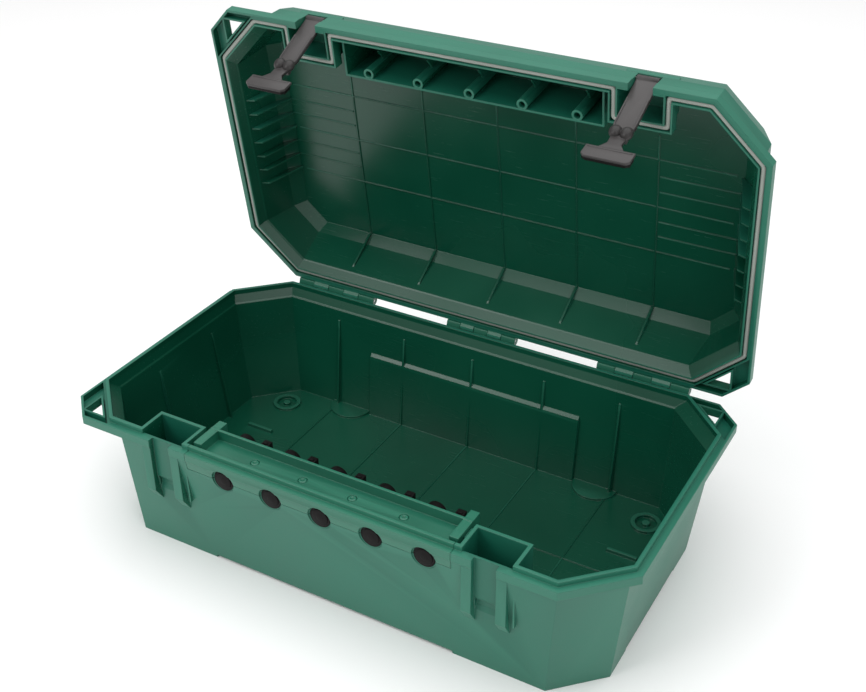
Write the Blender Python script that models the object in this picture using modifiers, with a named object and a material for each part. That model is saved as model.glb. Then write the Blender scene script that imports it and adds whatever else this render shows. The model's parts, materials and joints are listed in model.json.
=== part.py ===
"""Weatherproof cable connection box: an octagonal tub with a hinged lid, a cord gasket, a lift-out cable
clamp strip over five sealed ports, and two T-handled latch arms.

Metres, +Z up. The origin is the centre of the underside, at ground level. The lid and the latch arms are
modelled shut, on empties that stand on their pivots, and the empties then swing them to the rest pose:
lid open against its stop, arms tipped inwards."""

import math

import bmesh
import bpy
from mathutils import Matrix, Vector

# ---------------------------------------------------------------- driving sizes
length = 0.500  # rim, end to end
width = 0.275  # rim, front to back
rim_height = 0.1175  # top of the tub's rim above the ground
lid_height = 0.0545  # lid, from its rim face to its top
wall = 0.003
rim_thickness = 0.0075
floor_thickness = 0.006

# outline of rim and walls
rim_corner = 0.045  # how far a plain corner is cut back
eyelet_reach = 0.0163  # how far a corner that carries an eyelet stands out from a plain one
side_overhang = 0.007
rear_overhang = 0.0085
front_overhang = 0.0005
eyelet_overhang = 0.013
side_draft = 0.013
rear_draft = 0.0085
front_draft = 0.0165
foot_corner_inset = 0.0205
ledge_depth = 0.012  # from the top of the lip down to the ledge inside the tub
ledge_inset = 0.0100
ledge_step = 0.0012
belt_height = 0.070  # where the front wall's inner face turns from upright to drafted

# seal: a lip on the tub presses a gasket cord in a groove of the lid
seal_inset = 0.007  # rim edge to middle of the seal
lip_width = 0.003
lip_height = 0.0042
gasket_width = 0.004
gasket_height = 0.004
groove_width = 0.0046
groove_wall = 0.0014
seal_gap = 0.0003
lid_gap = 0.0003

# latch wells in the rim, and the pillars under them
well_from_end = 0.1025  # end of the rim to the middle of a well
well_half = 0.0202
well_rear = 0.0305  # front of the rim to the rear wall of a well
well_depth = 0.078
bar_front = 0.0051  # front of the rim to the bar that the latch arm lies against
bar_thickness = 0.0022
pillar_gap = 0.020
pillar_width = 0.0085
pillar_length = 0.056
catch_drop = 0.0385  # rim top to the underside of the catch
catch_height = 0.015
catch_depth = 0.0035

# ports and clamp strip
port_count = 5
port_shift = 0.006  # the row of ports stands this far to the right of the strip's middle
port_radius = 0.0094
port_ring = 0.0011
port_drop = 0.0155  # rim top to the middle of the ports
seal_recess = 0.003
seal_inner_radius = 0.0112
seal_inner_end = 0.0475  # front of the rim to the inner end of the seals
strip_depth = 0.0365  # front of the rim to the back of the strip
strip_end_gap = 0.0038  # clear slot between the strip and a well
strip_wall = 0.0025
tray_depth = 0.0045
tray_plate = 0.003
port_end_margin = 0.029  # end of the strip to the first port
block_width = 0.0075
block_length = 0.034
saddle_depth = 0.009
saddle_height = 0.014
screw_head_radius = 0.0036
screw_head_height = 0.0014
screw_radius = 0.0016
screw_length = 0.016
post_radius = 0.0045

# hinge
hinge_offset = 0.0046  # rear edge of the rim to the pin
hinge_rise = 0.0014  # rim top to the pin
knuckle_radius = 0.0042
pin_radius = 0.0015
pin_clearance = 0.0001
knuckle_gap = 0.0004
knuckles_per_group = 5
centre_group = 0.070
outer_group = 0.085
outer_group_from_end = 0.050
open_angle = math.radians(81.3)

# latch arms
pivot_inset = 0.0034  # front of the rim to the latch pivot
pivot_rise = 0.0165  # rim top to the latch pivot
arm_width = 0.0176
arm_thickness = 0.0026
arm_length = 0.058  # pivot to the bend where the neck begins
neck_length = 0.015
barrel_radius = 0.0027
latch_pin_radius = 0.0011
latch_pin_bite = 0.004  # how far a latch pin reaches into the lid on each side
slot_clearance = 0.0009
tab_width = 0.038
tab_length = 0.013
tab_flare = math.radians(13)
tab_lip = 0.0024
hook_depth = 0.0030
hook_height = 0.0045
arm_rest = math.radians(19)

# lid
lid_rim_thickness = 0.008
lid_band_height = 0.020
lid_shoulder = 0.011
lid_facet = 0.0105
notch_height = 0.027
slot_height = 0.0205
shelf_half = 0.117
shelf_rear = 0.0425  # front of the rim to the shelf's thin wall
boss_radius = 0.0048
boss_bore = 0.0028

# ribs and small features
rib_pitch = 0.0725
rib_thickness = 0.002
rib_depth = 0.005
rib_height = 0.088
fin_pitch = 0.0146
gap = 0.0003
round_steps = 20

# ---------------------------------------------------------------- places worked out from them
half_length = length / 2
half_width = width / 2
lip_top = rim_height + lip_height
lid_face = rim_height + lid_gap
lid_top = lid_face + lid_height
well_centre = half_length - well_from_end
strip_half = well_centre - well_half - lip_width - strip_end_gap
port_height = rim_height - port_drop
port_pitch = 2 * (strip_half - port_end_margin) / (port_count - 1)
ports = [port_shift + port_pitch * (i - (port_count - 1) / 2) for i in range(port_count)]
screws = [port_pitch * (i + 1 - port_count / 2) for i in range(port_count - 1)]
front = -half_width
hinge_y = half_width + hinge_offset
hinge_z = rim_height + hinge_rise
pivot_y = front + pivot_inset
pivot_z = rim_height + pivot_rise
screw_line = front + 0.0230
boss_pitch = port_pitch * 1.03
slot_half = arm_width / 2 + slot_clearance
foot_front = half_width - front_overhang - front_draft


def front_face(z):
    """Y of the drafted front wall's outer face at height z."""
    return -(foot_front + front_draft * z / (rim_height - rim_thickness))


# ---------------------------------------------------------------- scene and helpers
for old in list(bpy.data.objects):
    bpy.data.objects.remove(old, do_unlink=True)

parts = bpy.data.collections.new("cable_connection_box")
cutters = bpy.data.collections.new("cutters")
cutters.hide_render = True
bpy.context.scene.collection.children.link(parts)
bpy.context.scene.collection.children.link(cutters)


def finish_of(name, colour, roughness, metallic=0.0):
    """One plain material for one sub-part."""
    material = bpy.data.materials.new(name)
    material.use_nodes = True
    shader = material.node_tree.nodes["Principled BSDF"]
    shader.inputs["Base Color"].default_value = (*colour, 1.0)
    shader.inputs["Roughness"].default_value = roughness
    shader.inputs["Metallic"].default_value = metallic
    material.diffuse_color = (*colour, 1.0)
    return material


def outline(end, front, rear, eyelet, front_corner, rear_corner):
    """Eight points, counter-clockwise from the front left. Each side lies inside the plain rim's outline by
    its own inset. The front left and rear right corners are the ones that carry eyelets."""
    def cut(side, corner):
        return rim_corner - end - side + math.sqrt(2) * corner

    x, y_front, y_rear = half_length - end, half_width - front, half_width - rear
    front_left, front_right = cut(front, eyelet), cut(front, front_corner)
    rear_right, rear_left = cut(rear, eyelet), cut(rear, rear_corner)
    return [
        (-x + front_left, -y_front),
        (x - front_right, -y_front),
        (x, -y_front + front_right),
        (x, y_rear - rear_right),
        (x - rear_right, y_rear),
        (-x + rear_left, y_rear),
        (-x, y_rear - rear_left),
        (-x, -y_front + front_left),
    ]


def inset_octagon(inset):
    """The plain rim outline moved inwards, all eight sides by the same distance."""
    return outline(inset, inset, inset, inset, inset, inset)


def seal_path(outwards):
    """The seal's middle line, with its detours round the latch wells, moved outwards."""
    ring = inset_octagon(seal_inset - outwards)
    lip_middle = well_half + lip_width / 2
    reach = lip_middle - outwards
    y_front = ring[0][1]
    y_rear = front + well_rear + lip_width / 2 - outwards
    detours = []
    for side in (-1, 1):
        centre = side * well_centre
        detours += [
            (centre - reach, y_front),
            (centre - reach, y_rear),
            (centre + reach, y_rear),
            (centre + reach, y_front),
        ]
    return [ring[0], *detours, *ring[1:]]


def add_loft(bm, rings, closed=False):
    """Skins between rings of equal point counts, [(points, z), ...]. Open lofts get a cap at each end."""
    rows = [[bm.verts.new((x, y, z)) for x, y in points] for points, z in rings]
    count = len(rows[0])
    pairs = list(zip(rows, rows[1:]))
    if closed:
        pairs.append((rows[-1], rows[0]))
    for low, high in pairs:
        for i in range(count):
            j = (i + 1) % count
            bm.faces.new((low[i], low[j], high[j], high[i]))
    if not closed:
        bm.faces.new(rows[0][::-1])
        bm.faces.new(rows[-1])


def add_prism(bm, points, axis, low, high):
    """A flat outline pushed along an axis. axis X takes (y, z) points, Y takes (x, z), Z takes (x, y)."""
    def place(point, depth):
        u, v = point
        return {"X": (depth, u, v), "Y": (u, depth, v), "Z": (u, v, depth)}[axis]

    face = bm.faces.new([bm.verts.new(place(point, low)) for point in points])
    grown = bmesh.ops.extrude_face_region(bm, geom=[face])
    move = Vector(place((0, 0), high)) - Vector(place((0, 0), low))
    bmesh.ops.translate(bm, vec=move, verts=[v for v in grown["geom"] if isinstance(v, bmesh.types.BMVert)])


def add_box(bm, low, high):
    """An axis-aligned box between two corners."""
    made = bmesh.ops.create_cube(bm, size=1.0)
    size = Vector(high) - Vector(low)
    middle = (Vector(high) + Vector(low)) / 2
    for vertex in made["verts"]:
        vertex.co = Vector((vertex.co.x * size.x, vertex.co.y * size.y, vertex.co.z * size.z)) + middle


def add_cylinder(bm, axis, centre, radius, low, high, steps=round_steps):
    """A round bar along X, Y or Z. centre is its place in the other two axes, in their order."""
    u, v = centre
    turn = {
        "X": Matrix.Rotation(math.pi / 2, 4, "Y"),
        "Y": Matrix.Rotation(math.pi / 2, 4, "X"),
        "Z": Matrix.Identity(4),
    }[axis]
    middle = (low + high) / 2
    place = {"X": (middle, u, v), "Y": (u, middle, v), "Z": (u, v, middle)}[axis]
    bmesh.ops.create_cone(
        bm, cap_ends=True, segments=steps, radius1=radius, radius2=radius, depth=high - low,
        matrix=Matrix.Translation(place) @ turn,
    )


def make(name, build, material=None, collection=parts):
    """A mesh object from a function that fills a bmesh."""
    bm = bmesh.new()
    build(bm)
    bmesh.ops.recalc_face_normals(bm, faces=bm.faces)
    mesh = bpy.data.meshes.new(name)
    bm.to_mesh(mesh)
    bm.free()
    obj = bpy.data.objects.new(name, mesh)
    collection.objects.link(obj)
    if material:
        mesh.materials.append(material)
    else:
        obj.hide_render = True
        obj.display_type = "WIRE"
    return obj


def combine(target, operation, name, build, overlapping=False):
    """Joins a helper solid to the target, or cuts it away. overlapping: the helper is several solids that
    run into each other."""
    helper = make(name, build, collection=cutters)
    modifier = target.modifiers.new(name, "BOOLEAN")
    modifier.operation = operation
    modifier.solver = "EXACT"
    modifier.use_self = overlapping
    modifier.object = helper


def settle(obj):
    """Replaces an object's mesh by what its modifiers make of it."""
    graph = bpy.context.evaluated_depsgraph_get()
    mesh = bpy.data.meshes.new_from_object(obj.evaluated_get(graph))
    obj.modifiers.clear()
    obj.data = mesh
    mesh.name = obj.name


def smooth(obj, degrees=35):
    obj.data.shade_smooth()
    obj.data.set_sharp_from_angle(angle=math.radians(degrees))


green = finish_of("green_shell", (0.030, 0.140, 0.095), 0.42)
strip_green = finish_of("green_strip", (0.035, 0.150, 0.102), 0.42)
charcoal = finish_of("charcoal_latch", (0.070, 0.064, 0.063), 0.45)
rubber = finish_of("black_rubber", (0.018, 0.018, 0.018), 0.75)
foam = finish_of("grey_gasket", (0.235, 0.270, 0.240), 0.80)
steel = finish_of("zinc_steel", (0.55, 0.55, 0.54), 0.35, 1.0)


# ---------------------------------------------------------------- base tub
rim_outline = outline(0, 0, 0, -eyelet_reach, 0, 0)
wall_insets = (side_overhang, front_overhang, rear_overhang, eyelet_overhang, front_overhang, rear_overhang)
foot_insets = (side_overhang + side_draft, front_overhang + front_draft, rear_overhang + rear_draft,
               foot_corner_inset, foot_corner_inset, foot_corner_inset)


def tub_shell(bm):
    """Outer wall up, round the rim and the lip, and down the inner wall to the floor."""
    under_rim = rim_height - rim_thickness
    ledge_z = lip_top - ledge_depth
    ledge_insets = [max(inset + wall, ledge_inset) for inset in wall_insets]
    share = belt_height / under_rim
    belt_insets = [
        max(upper * share + lower * (1 - share) + wall, ledge + ledge_step)
        for upper, lower, ledge in zip(wall_insets, foot_insets, ledge_insets)
    ]
    add_loft(bm, [
        (outline(*foot_insets), 0.0),
        (outline(*wall_insets), under_rim),
        (rim_outline, under_rim),
        (rim_outline, rim_height),
        (inset_octagon(seal_inset - lip_width / 2), rim_height),
        (inset_octagon(seal_inset - lip_width / 2), lip_top),
        (inset_octagon(seal_inset + lip_width / 2), lip_top),
        (inset_octagon(seal_inset + lip_width / 2), rim_height - seal_gap),
        (outline(*ledge_insets), ledge_z),
        (outline(*[inset + ledge_step for inset in ledge_insets]), ledge_z - ledge_step),
        (outline(*belt_insets), belt_height),
        (outline(*[inset + wall for inset in foot_insets]), floor_thickness),
    ])


def well_blocks(bm):
    """Solid blocks that the wells are cut from."""
    for side in (-1, 1):
        reach = well_half + lip_width
        rear = front + well_rear + lip_width
        bottom = rim_height - well_depth - wall
        lip_front = front + seal_inset - lip_width / 2
        add_prism(bm, [
            (lip_front, lip_top), (lip_front, rim_height - 0.003), (front_face(bottom) + wall / 2, bottom),
            (rear, bottom), (rear, lip_top),
        ], "X", side * well_centre - reach, side * well_centre + reach)


def well_profile(top):
    """Side view of a latch well in (y, z): straight behind the bar, then following the front wall's draft."""
    bar_back = front + bar_front + bar_thickness
    rear = front + well_rear
    bend = rim_height - 0.036
    bottom = rim_height - well_depth
    return [
        (bar_back, top), (bar_back, rim_height - 0.018), (front_face(bend) + wall + bar_thickness, bend),
        (front_face(bottom) + wall, bottom), (rear, bottom), (rear, top),
    ]


def well_cavities(bm):
    for side in (-1, 1):
        centre = side * well_centre
        add_prism(bm, well_profile(lip_top + 0.01), "X", centre - well_half, centre + well_half)


def well_lip_cuts(bm):
    """Takes the lip away in front of each well, so that the latch arm can swing out."""
    for side in (-1, 1):
        centre = side * well_centre
        add_box(bm, (centre - well_half, front - 0.01, rim_height),
                (centre + well_half, front + 0.02, lip_top + 0.01))


def pillar_centres():
    offset = (pillar_gap + pillar_width) / 2
    return [side * well_centre + way * offset for side in (-1, 1) for way in (-1, 1)]


def pillars(bm):
    """Two upright guides under each well, flush with the rim and running out into the drafted wall."""
    low = rim_height - rim_thickness - pillar_length
    back = front_face(low) + wall / 2
    face = front + front_overhang
    for centre in pillar_centres():
        add_prism(bm, [
            (face, rim_height - 0.002), (face, low + 0.012), (front_face(low) - 0.001, low), (back, low),
            (back, rim_height - 0.002),
        ], "X", centre - pillar_width / 2, centre + pillar_width / 2)


def pillar_fins(bm):
    """A thin stiffening fin beside each right-hand pillar."""
    low = rim_height - rim_thickness - 0.045
    for centre in pillar_centres()[1::2]:
        x = centre + pillar_width / 2 + 0.004
        add_prism(bm, [
            (front + 0.0025, rim_height - 0.004), (front_face(low) - 0.0035, low),
            (front_face(low) + 0.001, low),
            (front + 0.006, rim_height - 0.004),
        ], "X", x, x + 0.0016)


def arm_recesses(bm):
    """The plane that a shut latch arm lies in, and the catch below it."""
    plane = front + bar_front
    catch = rim_height - catch_drop
    for side in (-1, 1):
        centre = side * well_centre
        add_box(bm, (centre - pillar_gap / 2, front - 0.01, catch + 0.0006),
                (centre + pillar_gap / 2, plane, rim_height + 0.001))
        add_prism(bm, [
            (front - 0.01, catch), (front_face(catch) + catch_depth, catch),
            (front_face(catch) + catch_depth, catch - 0.008),
            (front_face(catch - catch_height) - 0.001, catch - catch_height),
            (front - 0.01, catch - catch_height),
        ], "X", centre - pillar_gap / 2 + 0.0008, centre + pillar_gap / 2 - 0.0008)


def catch_ledges(bm):
    """Carries the arm's plane down to the catch."""
    plane = front + bar_front
    catch = rim_height - catch_drop
    for side in (-1, 1):
        centre = side * well_centre
        add_prism(bm, [
            (plane, rim_height - 0.030), (plane, catch), (front_face(catch) + 0.002, catch),
            (plane + 0.004, rim_height - 0.030),
        ], "X", centre - pillar_gap / 2 - 0.001, centre + pillar_gap / 2 + 0.001)


def saddle_block(bm):
    """Thickens the front wall under the ports."""
    top = port_height - gap
    low = top - saddle_height
    reach = strip_half - 0.003
    add_prism(bm, [
        (front_face(top) + wall / 2, top), (front_face(low) + wall / 2, low),
        (front_face(low) + 2 * wall, low),
        (front_face(top) + wall + saddle_depth, top - 0.004), (front_face(top) + wall + saddle_depth, top),
    ], "X", -reach, reach)


def strip_cut(bm):
    add_box(bm, (-strip_half - gap, front - 0.02, port_height - gap),
            (strip_half + gap, front + strip_depth + 0.02, lip_top + 0.01))


def strip_stops(bm):
    """Small blocks beside the wells that centre the strip."""
    for side in (-1, 1):
        near, far = side * (strip_half + gap), side * (well_centre - well_half - lip_width / 2)
        add_box(bm, (min(near, far), front + 0.0205, rim_height - 0.016),
                (max(near, far), front + well_rear + lip_width / 2, rim_height))


def port_bores(bm, radius=port_radius):
    for x in ports:
        add_cylinder(bm, "Y", (x, port_height), radius, front - 0.01, front + strip_depth + 0.01, 24)


def port_rings(bm):
    """A shallow countersink round the mouth of each port."""
    for x in ports:
        add_cylinder(bm, "Y", (x, port_height), port_radius + port_ring, front - 0.01,
                     front_face(port_height) + 0.0016, 24)


def rear_ribs(bm):
    """Upright ribs on the rear wall, each with a nosed top."""
    for i in range(-2, 3):
        x = i * rib_pitch
        base_y = half_width - rear_overhang - rear_draft - wall
        top = floor_thickness + rib_height
        top_y = base_y + rear_draft * top / (rim_height - rim_thickness)
        add_prism(bm, [
            (base_y - rib_depth * 0.8, floor_thickness - 0.001), (base_y + 0.001, floor_thickness - 0.001),
            (top_y + 0.001, top + 0.004), (top_y - 0.001, top + 0.004),
            (top_y - rib_depth * 0.45, top - 0.004),
        ], "X", x - rib_thickness / 2, x + rib_thickness / 2)


def rear_panel(bm):
    """A shallow step low on the rear wall, between the outer ribs but one."""
    def inner(z):
        return half_width - rear_overhang - rear_draft - wall + rear_draft * z / (rim_height - rim_thickness)

    top, proud, half = 0.069, 0.003, 1.5 * rib_pitch
    add_prism(bm, [
        (inner(0.005) + 0.0008, 0.005), (inner(top + 0.0045) + 0.0004, top + 0.0045),
        (inner(top) - proud * 0.75, top + 0.001),
        (inner(top) - proud, top - 0.002), (inner(0.005) - proud, 0.005),
    ], "X", -half, half)


def floor_lines(bm):
    """Low ribs on the floor: one across at each wall rib, and one from end to end."""
    low, high = floor_thickness - 0.001, floor_thickness + 0.0007
    for i in range(-2, 3):
        add_box(bm, (i * rib_pitch - 0.0006, -half_width + 0.060, low),
                (i * rib_pitch + 0.0006, rear_inner - 0.004, high))
    add_box(bm, (-half_length + 0.045, 0.0144, low), (half_length - 0.045, 0.0156, high))


def end_ribs(bm):
    """Two upright ribs on each end wall."""
    for side in (-1, 1):
        for y in (-0.030, 0.045):
            base_x = half_length - side_overhang - side_draft - wall
            top = floor_thickness + rib_height
            top_x = base_x + side_draft * top / (rim_height - rim_thickness)
            add_prism(bm, [
                (side * (base_x - rib_depth * 0.8), floor_thickness - 0.001),
                (side * (base_x + 0.001), floor_thickness - 0.001), (side * (top_x + 0.001), top + 0.004),
                (side * (top_x - 0.001), top + 0.004), (side * (top_x - rib_depth * 0.45), top - 0.004),
            ], "Y", y - rib_thickness / 2, y + rib_thickness / 2)


ring_boss = (half_length - 0.060, half_width - 0.0465)
rear_inner = half_width - rear_overhang - rear_draft - wall


def floor_pads(bm):
    """Half-round pads against the rear wall and a bar near each front corner."""
    for side in (-1, 1):
        x, radius = side * (half_length - 0.1195), 0.021
        half_round = [
            (x + radius * math.cos(a), rear_inner + 0.0005 - radius * math.sin(a))
            for a in (math.pi * k / 14 for k in range(15))
        ]
        add_prism(bm, half_round, "Z", floor_thickness - 0.001, floor_thickness + 0.002)
    for side in (-1, 1):
        x = side * (half_length - 0.0625)
        add_box(bm, (x - 0.0135, half_width - 0.0965, floor_thickness - 0.001),
                (x + 0.0135, half_width - 0.0935, floor_thickness + 0.003))


def floor_rings(bm):
    for side in (-1, 1):
        x, y = side * ring_boss[0], ring_boss[1]
        add_cylinder(bm, "Z", (x, y), 0.0135, floor_thickness - 0.001, floor_thickness + 0.0022, 28)


def floor_ring_cuts(bm):
    for side in (-1, 1):
        x, y = side * ring_boss[0], ring_boss[1]
        add_cylinder(bm, "Z", (x, y), 0.0095, floor_thickness - 0.0008, floor_thickness + 0.01, 24)


def floor_studs(bm):
    for side in (-1, 1):
        x, y = side * ring_boss[0], ring_boss[1]
        add_cylinder(bm, "Z", (x, y), 0.0035, floor_thickness - 0.002, floor_thickness + 0.0018, 16)


def underside_recesses(bm):
    """Leaves a foot in each corner and a pad in the middle."""
    depth = 0.0028
    foot_x, foot_y, pad = 0.136, 0.055, 0.030
    add_box(bm, (pad, -half_width, -0.01), (half_length - foot_x, half_width, depth))
    add_box(bm, (-half_length + foot_x, -half_width, -0.01), (-pad, half_width, depth))
    add_box(bm, (-half_length, -half_width + foot_y + 0.030, -0.01),
            (-half_length + foot_x + 0.001, half_width - foot_y - 0.030, depth))
    add_box(bm, (half_length - foot_x - 0.001, -half_width + foot_y + 0.030, -0.01),
            (half_length, half_width - foot_y - 0.030, depth))
    add_box(bm, (-pad - 0.001, -half_width, -0.01), (pad + 0.001, -pad, depth))
    add_box(bm, (-pad - 0.001, pad, -0.01), (pad + 0.001, half_width, depth))


def clamp_posts(bm):
    """Screw posts behind the ports, on a shelf under the seals."""
    shelf_top = port_height - seal_inner_radius - 0.001
    reach = strip_half - 0.006
    add_box(bm, (-reach, front_face(shelf_top) + wall / 2, shelf_top - 0.0025),
            (reach, front + seal_inner_end + 0.001, shelf_top))
    for x in screws:
        add_cylinder(bm, "Z", (x, screw_line), post_radius, shelf_top - 0.001, port_height - gap, 16)
    for left, right in zip(ports, ports[1:]):
        x, y = (left + right) / 2, front + strip_depth + gap + post_radius
        add_box(bm, (x - 0.0045, y - 0.004, shelf_top - 0.001), (x + 0.0045, y + 0.004, rim_height - 0.006))




def post_bores(bm):
    for x in screws:
        add_cylinder(bm, "Z", (x, screw_line), screw_radius + 0.0002, rim_height - tray_depth - 0.022,
                     rim_height, 12)
    for left, right in zip(ports, ports[1:]):
        x, y = (left + right) / 2, front + strip_depth + gap + post_radius
        add_cylinder(bm, "Z", (x, y), 0.002, rim_height - 0.018, rim_height, 12)


def eyelet_corner_points(side, inset):
    """The triangle of rim between the seal and an eyelet corner, moved inwards. side is -1 at the front left
    and 1 at the rear right."""
    x_edge, y_edge = half_length - inset, half_width - inset
    diagonal = half_length + half_width - rim_corner - math.sqrt(2) * (seal_inset - lip_width / 2 - inset)
    tip = rim_corner - math.sqrt(2) * eyelet_reach - inset * (2 - math.sqrt(2))
    return [
        (side * x_edge, side * (diagonal - x_edge)), (side * x_edge, side * (y_edge - tip)),
        (side * (x_edge - tip), side * y_edge), (side * (diagonal - y_edge), side * y_edge),
    ]


def eyelet_hole_points(side, grow):
    x_edge, y_edge, leg = half_length - 0.0165 + grow, half_width - 0.0095 + grow, 0.0195
    far = leg + grow * (2 + math.sqrt(2))
    return [
        (side * x_edge, side * y_edge), (side * (x_edge - far), side * y_edge),
        (side * x_edge, side * (y_edge - far)),
    ]


def eyelet_pockets(low, high):
    def build(bm):
        for side in (-1, 1):
            add_prism(bm, eyelet_corner_points(side, 0.0022), "Z", low, high)
    return build


def eyelet_frames(low, high):
    def build(bm):
        for side in (-1, 1):
            add_prism(bm, eyelet_hole_points(side, 0.0016), "Z", low, high)
    return build


def eyelet_holes(low, high):
    def build(bm):
        for side in (-1, 1):
            add_prism(bm, eyelet_hole_points(side, 0.0), "Z", low, high)
    return build


def hinge_groups():
    """Middle and length of each group of knuckles."""
    outer = half_length - outer_group_from_end - outer_group / 2
    return [(-outer, outer_group), (0.0, centre_group), (outer, outer_group)]


def knuckles(of_lid):
    """Every second knuckle of each group, on a web to the rim."""
    def build(bm):
        web_y = half_width - 0.0015
        for middle, long in hinge_groups():
            pitch = long / knuckles_per_group
            for i in range(knuckles_per_group):
                if (i % 2 == 1) != of_lid:
                    continue
                low = middle - long / 2 + i * pitch + knuckle_gap / 2
                high = low + pitch - knuckle_gap
                r = knuckle_radius
                arc = [(hinge_y + r * math.sin(a), hinge_z + r * math.cos(a))
                       for a in (math.pi * k / 8 for k in range(9))]
                if of_lid:
                    points = [(web_y, lid_face + lid_rim_thickness - 0.0005), *arc,
                              (hinge_y - 0.6 * r, hinge_z - 0.8 * r),
                              (hinge_y - r, hinge_z - hinge_rise + lid_gap),
                              (web_y, lid_face + 0.0002)]
                else:
                    points = [(web_y, rim_height - 0.0002), (hinge_y - r, hinge_z - hinge_rise - 0.0002),
                              (hinge_y - 0.6 * r, hinge_z + 0.8 * r), *arc,
                              (web_y, rim_height - rim_thickness + 0.0005)]
                add_prism(bm, points, "X", low, high)
    return build


def hinge_bores(bm):
    for middle, long in hinge_groups():
        add_cylinder(bm, "X", (hinge_y, hinge_z), pin_radius + pin_clearance, middle - long / 2 - 0.001,
                     middle + long / 2 + 0.001)


base = make("base_tub", tub_shell, green)
combine(base, "UNION", "base_wells", well_blocks)
combine(base, "UNION", "base_pillars", pillars)
combine(base, "UNION", "base_catches", catch_ledges)
combine(base, "UNION", "base_fins", pillar_fins)
combine(base, "DIFFERENCE", "base_well_cavities", well_cavities)
combine(base, "DIFFERENCE", "base_well_lips", well_lip_cuts)
combine(base, "DIFFERENCE", "base_arm_recesses", arm_recesses)
combine(base, "UNION", "base_saddles", saddle_block)
combine(base, "DIFFERENCE", "base_strip_cut", strip_cut)
combine(base, "UNION", "base_strip_stops", strip_stops)
combine(base, "DIFFERENCE", "base_port_bores", port_bores)
combine(base, "DIFFERENCE", "base_port_rings", port_rings)
combine(base, "UNION", "base_clamp_posts", clamp_posts, overlapping=True)
combine(base, "DIFFERENCE", "base_post_bores", post_bores, overlapping=True)
combine(base, "UNION", "base_rear_ribs", rear_ribs)
combine(base, "UNION", "base_rear_panel", rear_panel)
combine(base, "UNION", "base_end_ribs", end_ribs)
combine(base, "UNION", "base_floor_lines", floor_lines, overlapping=True)
combine(base, "UNION", "base_floor_pads", floor_pads)
combine(base, "UNION", "base_floor_rings", floor_rings)
combine(base, "DIFFERENCE", "base_ring_cuts", floor_ring_cuts)
combine(base, "UNION", "base_floor_studs", floor_studs)
combine(base, "DIFFERENCE", "base_underside", underside_recesses, overlapping=True)
combine(base, "DIFFERENCE", "base_eyelet_pockets",
        eyelet_pockets(rim_height - rim_thickness + 0.0018, rim_height + 0.01))
combine(base, "UNION", "base_eyelet_frames",
        eyelet_frames(rim_height - rim_thickness + 0.0008, rim_height - 0.0002))
combine(base, "DIFFERENCE", "base_eyelet_holes",
        eyelet_holes(rim_height - rim_thickness - 0.01, rim_height + 0.01))
combine(base, "UNION", "base_knuckles", knuckles(False))
combine(base, "DIFFERENCE", "base_hinge_bores", hinge_bores)
settle(base)
smooth(base)


# ---------------------------------------------------------------- cable clamp strip, its screws and the seals
def strip_body(bm):
    """An upside-down channel: front wall with the ports' upper halves, lip, tray and thin rear wall."""
    rear = front + strip_depth
    lip_front = front + seal_inset - lip_width / 2
    lip_back = lip_front + lip_width
    tray = rim_height - tray_depth
    low = port_height
    add_prism(bm, [
        (front_face(low), low), (front + front_overhang, rim_height - rim_thickness),
        (front, rim_height - rim_thickness),
        (front, rim_height), (lip_front, rim_height), (lip_front, lip_top), (lip_back, lip_top),
        (lip_back, tray),
        (rear - strip_wall, tray), (rear - strip_wall, lip_top), (rear, lip_top), (rear, low),
        (rear - strip_wall, low),
        (rear - strip_wall, tray - tray_plate), (front_face(low) + 2 * wall, tray - tray_plate),
        (front_face(low) + 2 * wall, low),
    ], "X", -strip_half, strip_half)


def strip_blocks(bm):
    """A solid block across each end of the tray."""
    for side in (-1, 1):
        near, far = side * (strip_half - block_width), side * strip_half
        low_y = front + seal_inset + lip_width / 2 + groove_wall + 0.0025
        add_box(bm, (min(near, far), low_y, port_height),
                (max(near, far), low_y + block_length, lip_top - 0.0003))


def strip_screw_seats(bm):
    for x in screws:
        tray = rim_height - tray_depth
        add_cylinder(bm, "Z", (x, screw_line), screw_head_radius + gap, tray - 0.0012, tray + 0.01, 16)
        add_cylinder(bm, "Z", (x, screw_line), screw_radius + gap, tray - 0.01, tray + 0.01, 12)


strip = make("cable_clamp_strip", strip_body, strip_green)
combine(strip, "UNION", "strip_blocks", strip_blocks)
combine(strip, "DIFFERENCE", "strip_port_bores", port_bores)
combine(strip, "DIFFERENCE", "strip_port_rings", port_rings)
combine(strip, "DIFFERENCE", "strip_screw_seats", strip_screw_seats, overlapping=True)
settle(strip)
smooth(strip)


def turned(name, profile, material, steps):
    """A body turned about its own Z axis. The profile is (radius, z) pairs, top to bottom."""
    mesh = bpy.data.meshes.new(name)
    mesh.from_pydata([(r, 0, z) for r, z in profile], [(i, i + 1) for i in range(len(profile) - 1)], [])
    obj = bpy.data.objects.new(name, mesh)
    parts.objects.link(obj)
    screw = obj.modifiers.new("turn", "SCREW")
    screw.steps = steps
    screw.render_steps = steps
    screw.use_merge_vertices = True
    screw.merge_threshold = 0.00001
    mesh.materials.append(material)
    return obj


def screw_profile():
    """Pan head with a shallow dished top, and a plain shank with a pointed end."""
    head = screw_head_height
    return [
        (0, head - 0.0005), (screw_head_radius * 0.35, head - 0.0005), (screw_head_radius * 0.5, head),
        (screw_head_radius * 0.85, head * 0.85), (screw_head_radius, head * 0.4), (screw_head_radius, 0),
        (screw_radius, 0), (screw_radius, 0.0015 - screw_length), (0, -screw_length),
    ]


for i, x in enumerate(screws):
    screw = turned(f"clamp_screw_{i + 1}", screw_profile(), strip_green, 12)
    screw.location = (x, screw_line, rim_height - tray_depth - 0.0012 + gap)
    settle(screw)
    smooth(screw)


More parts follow.
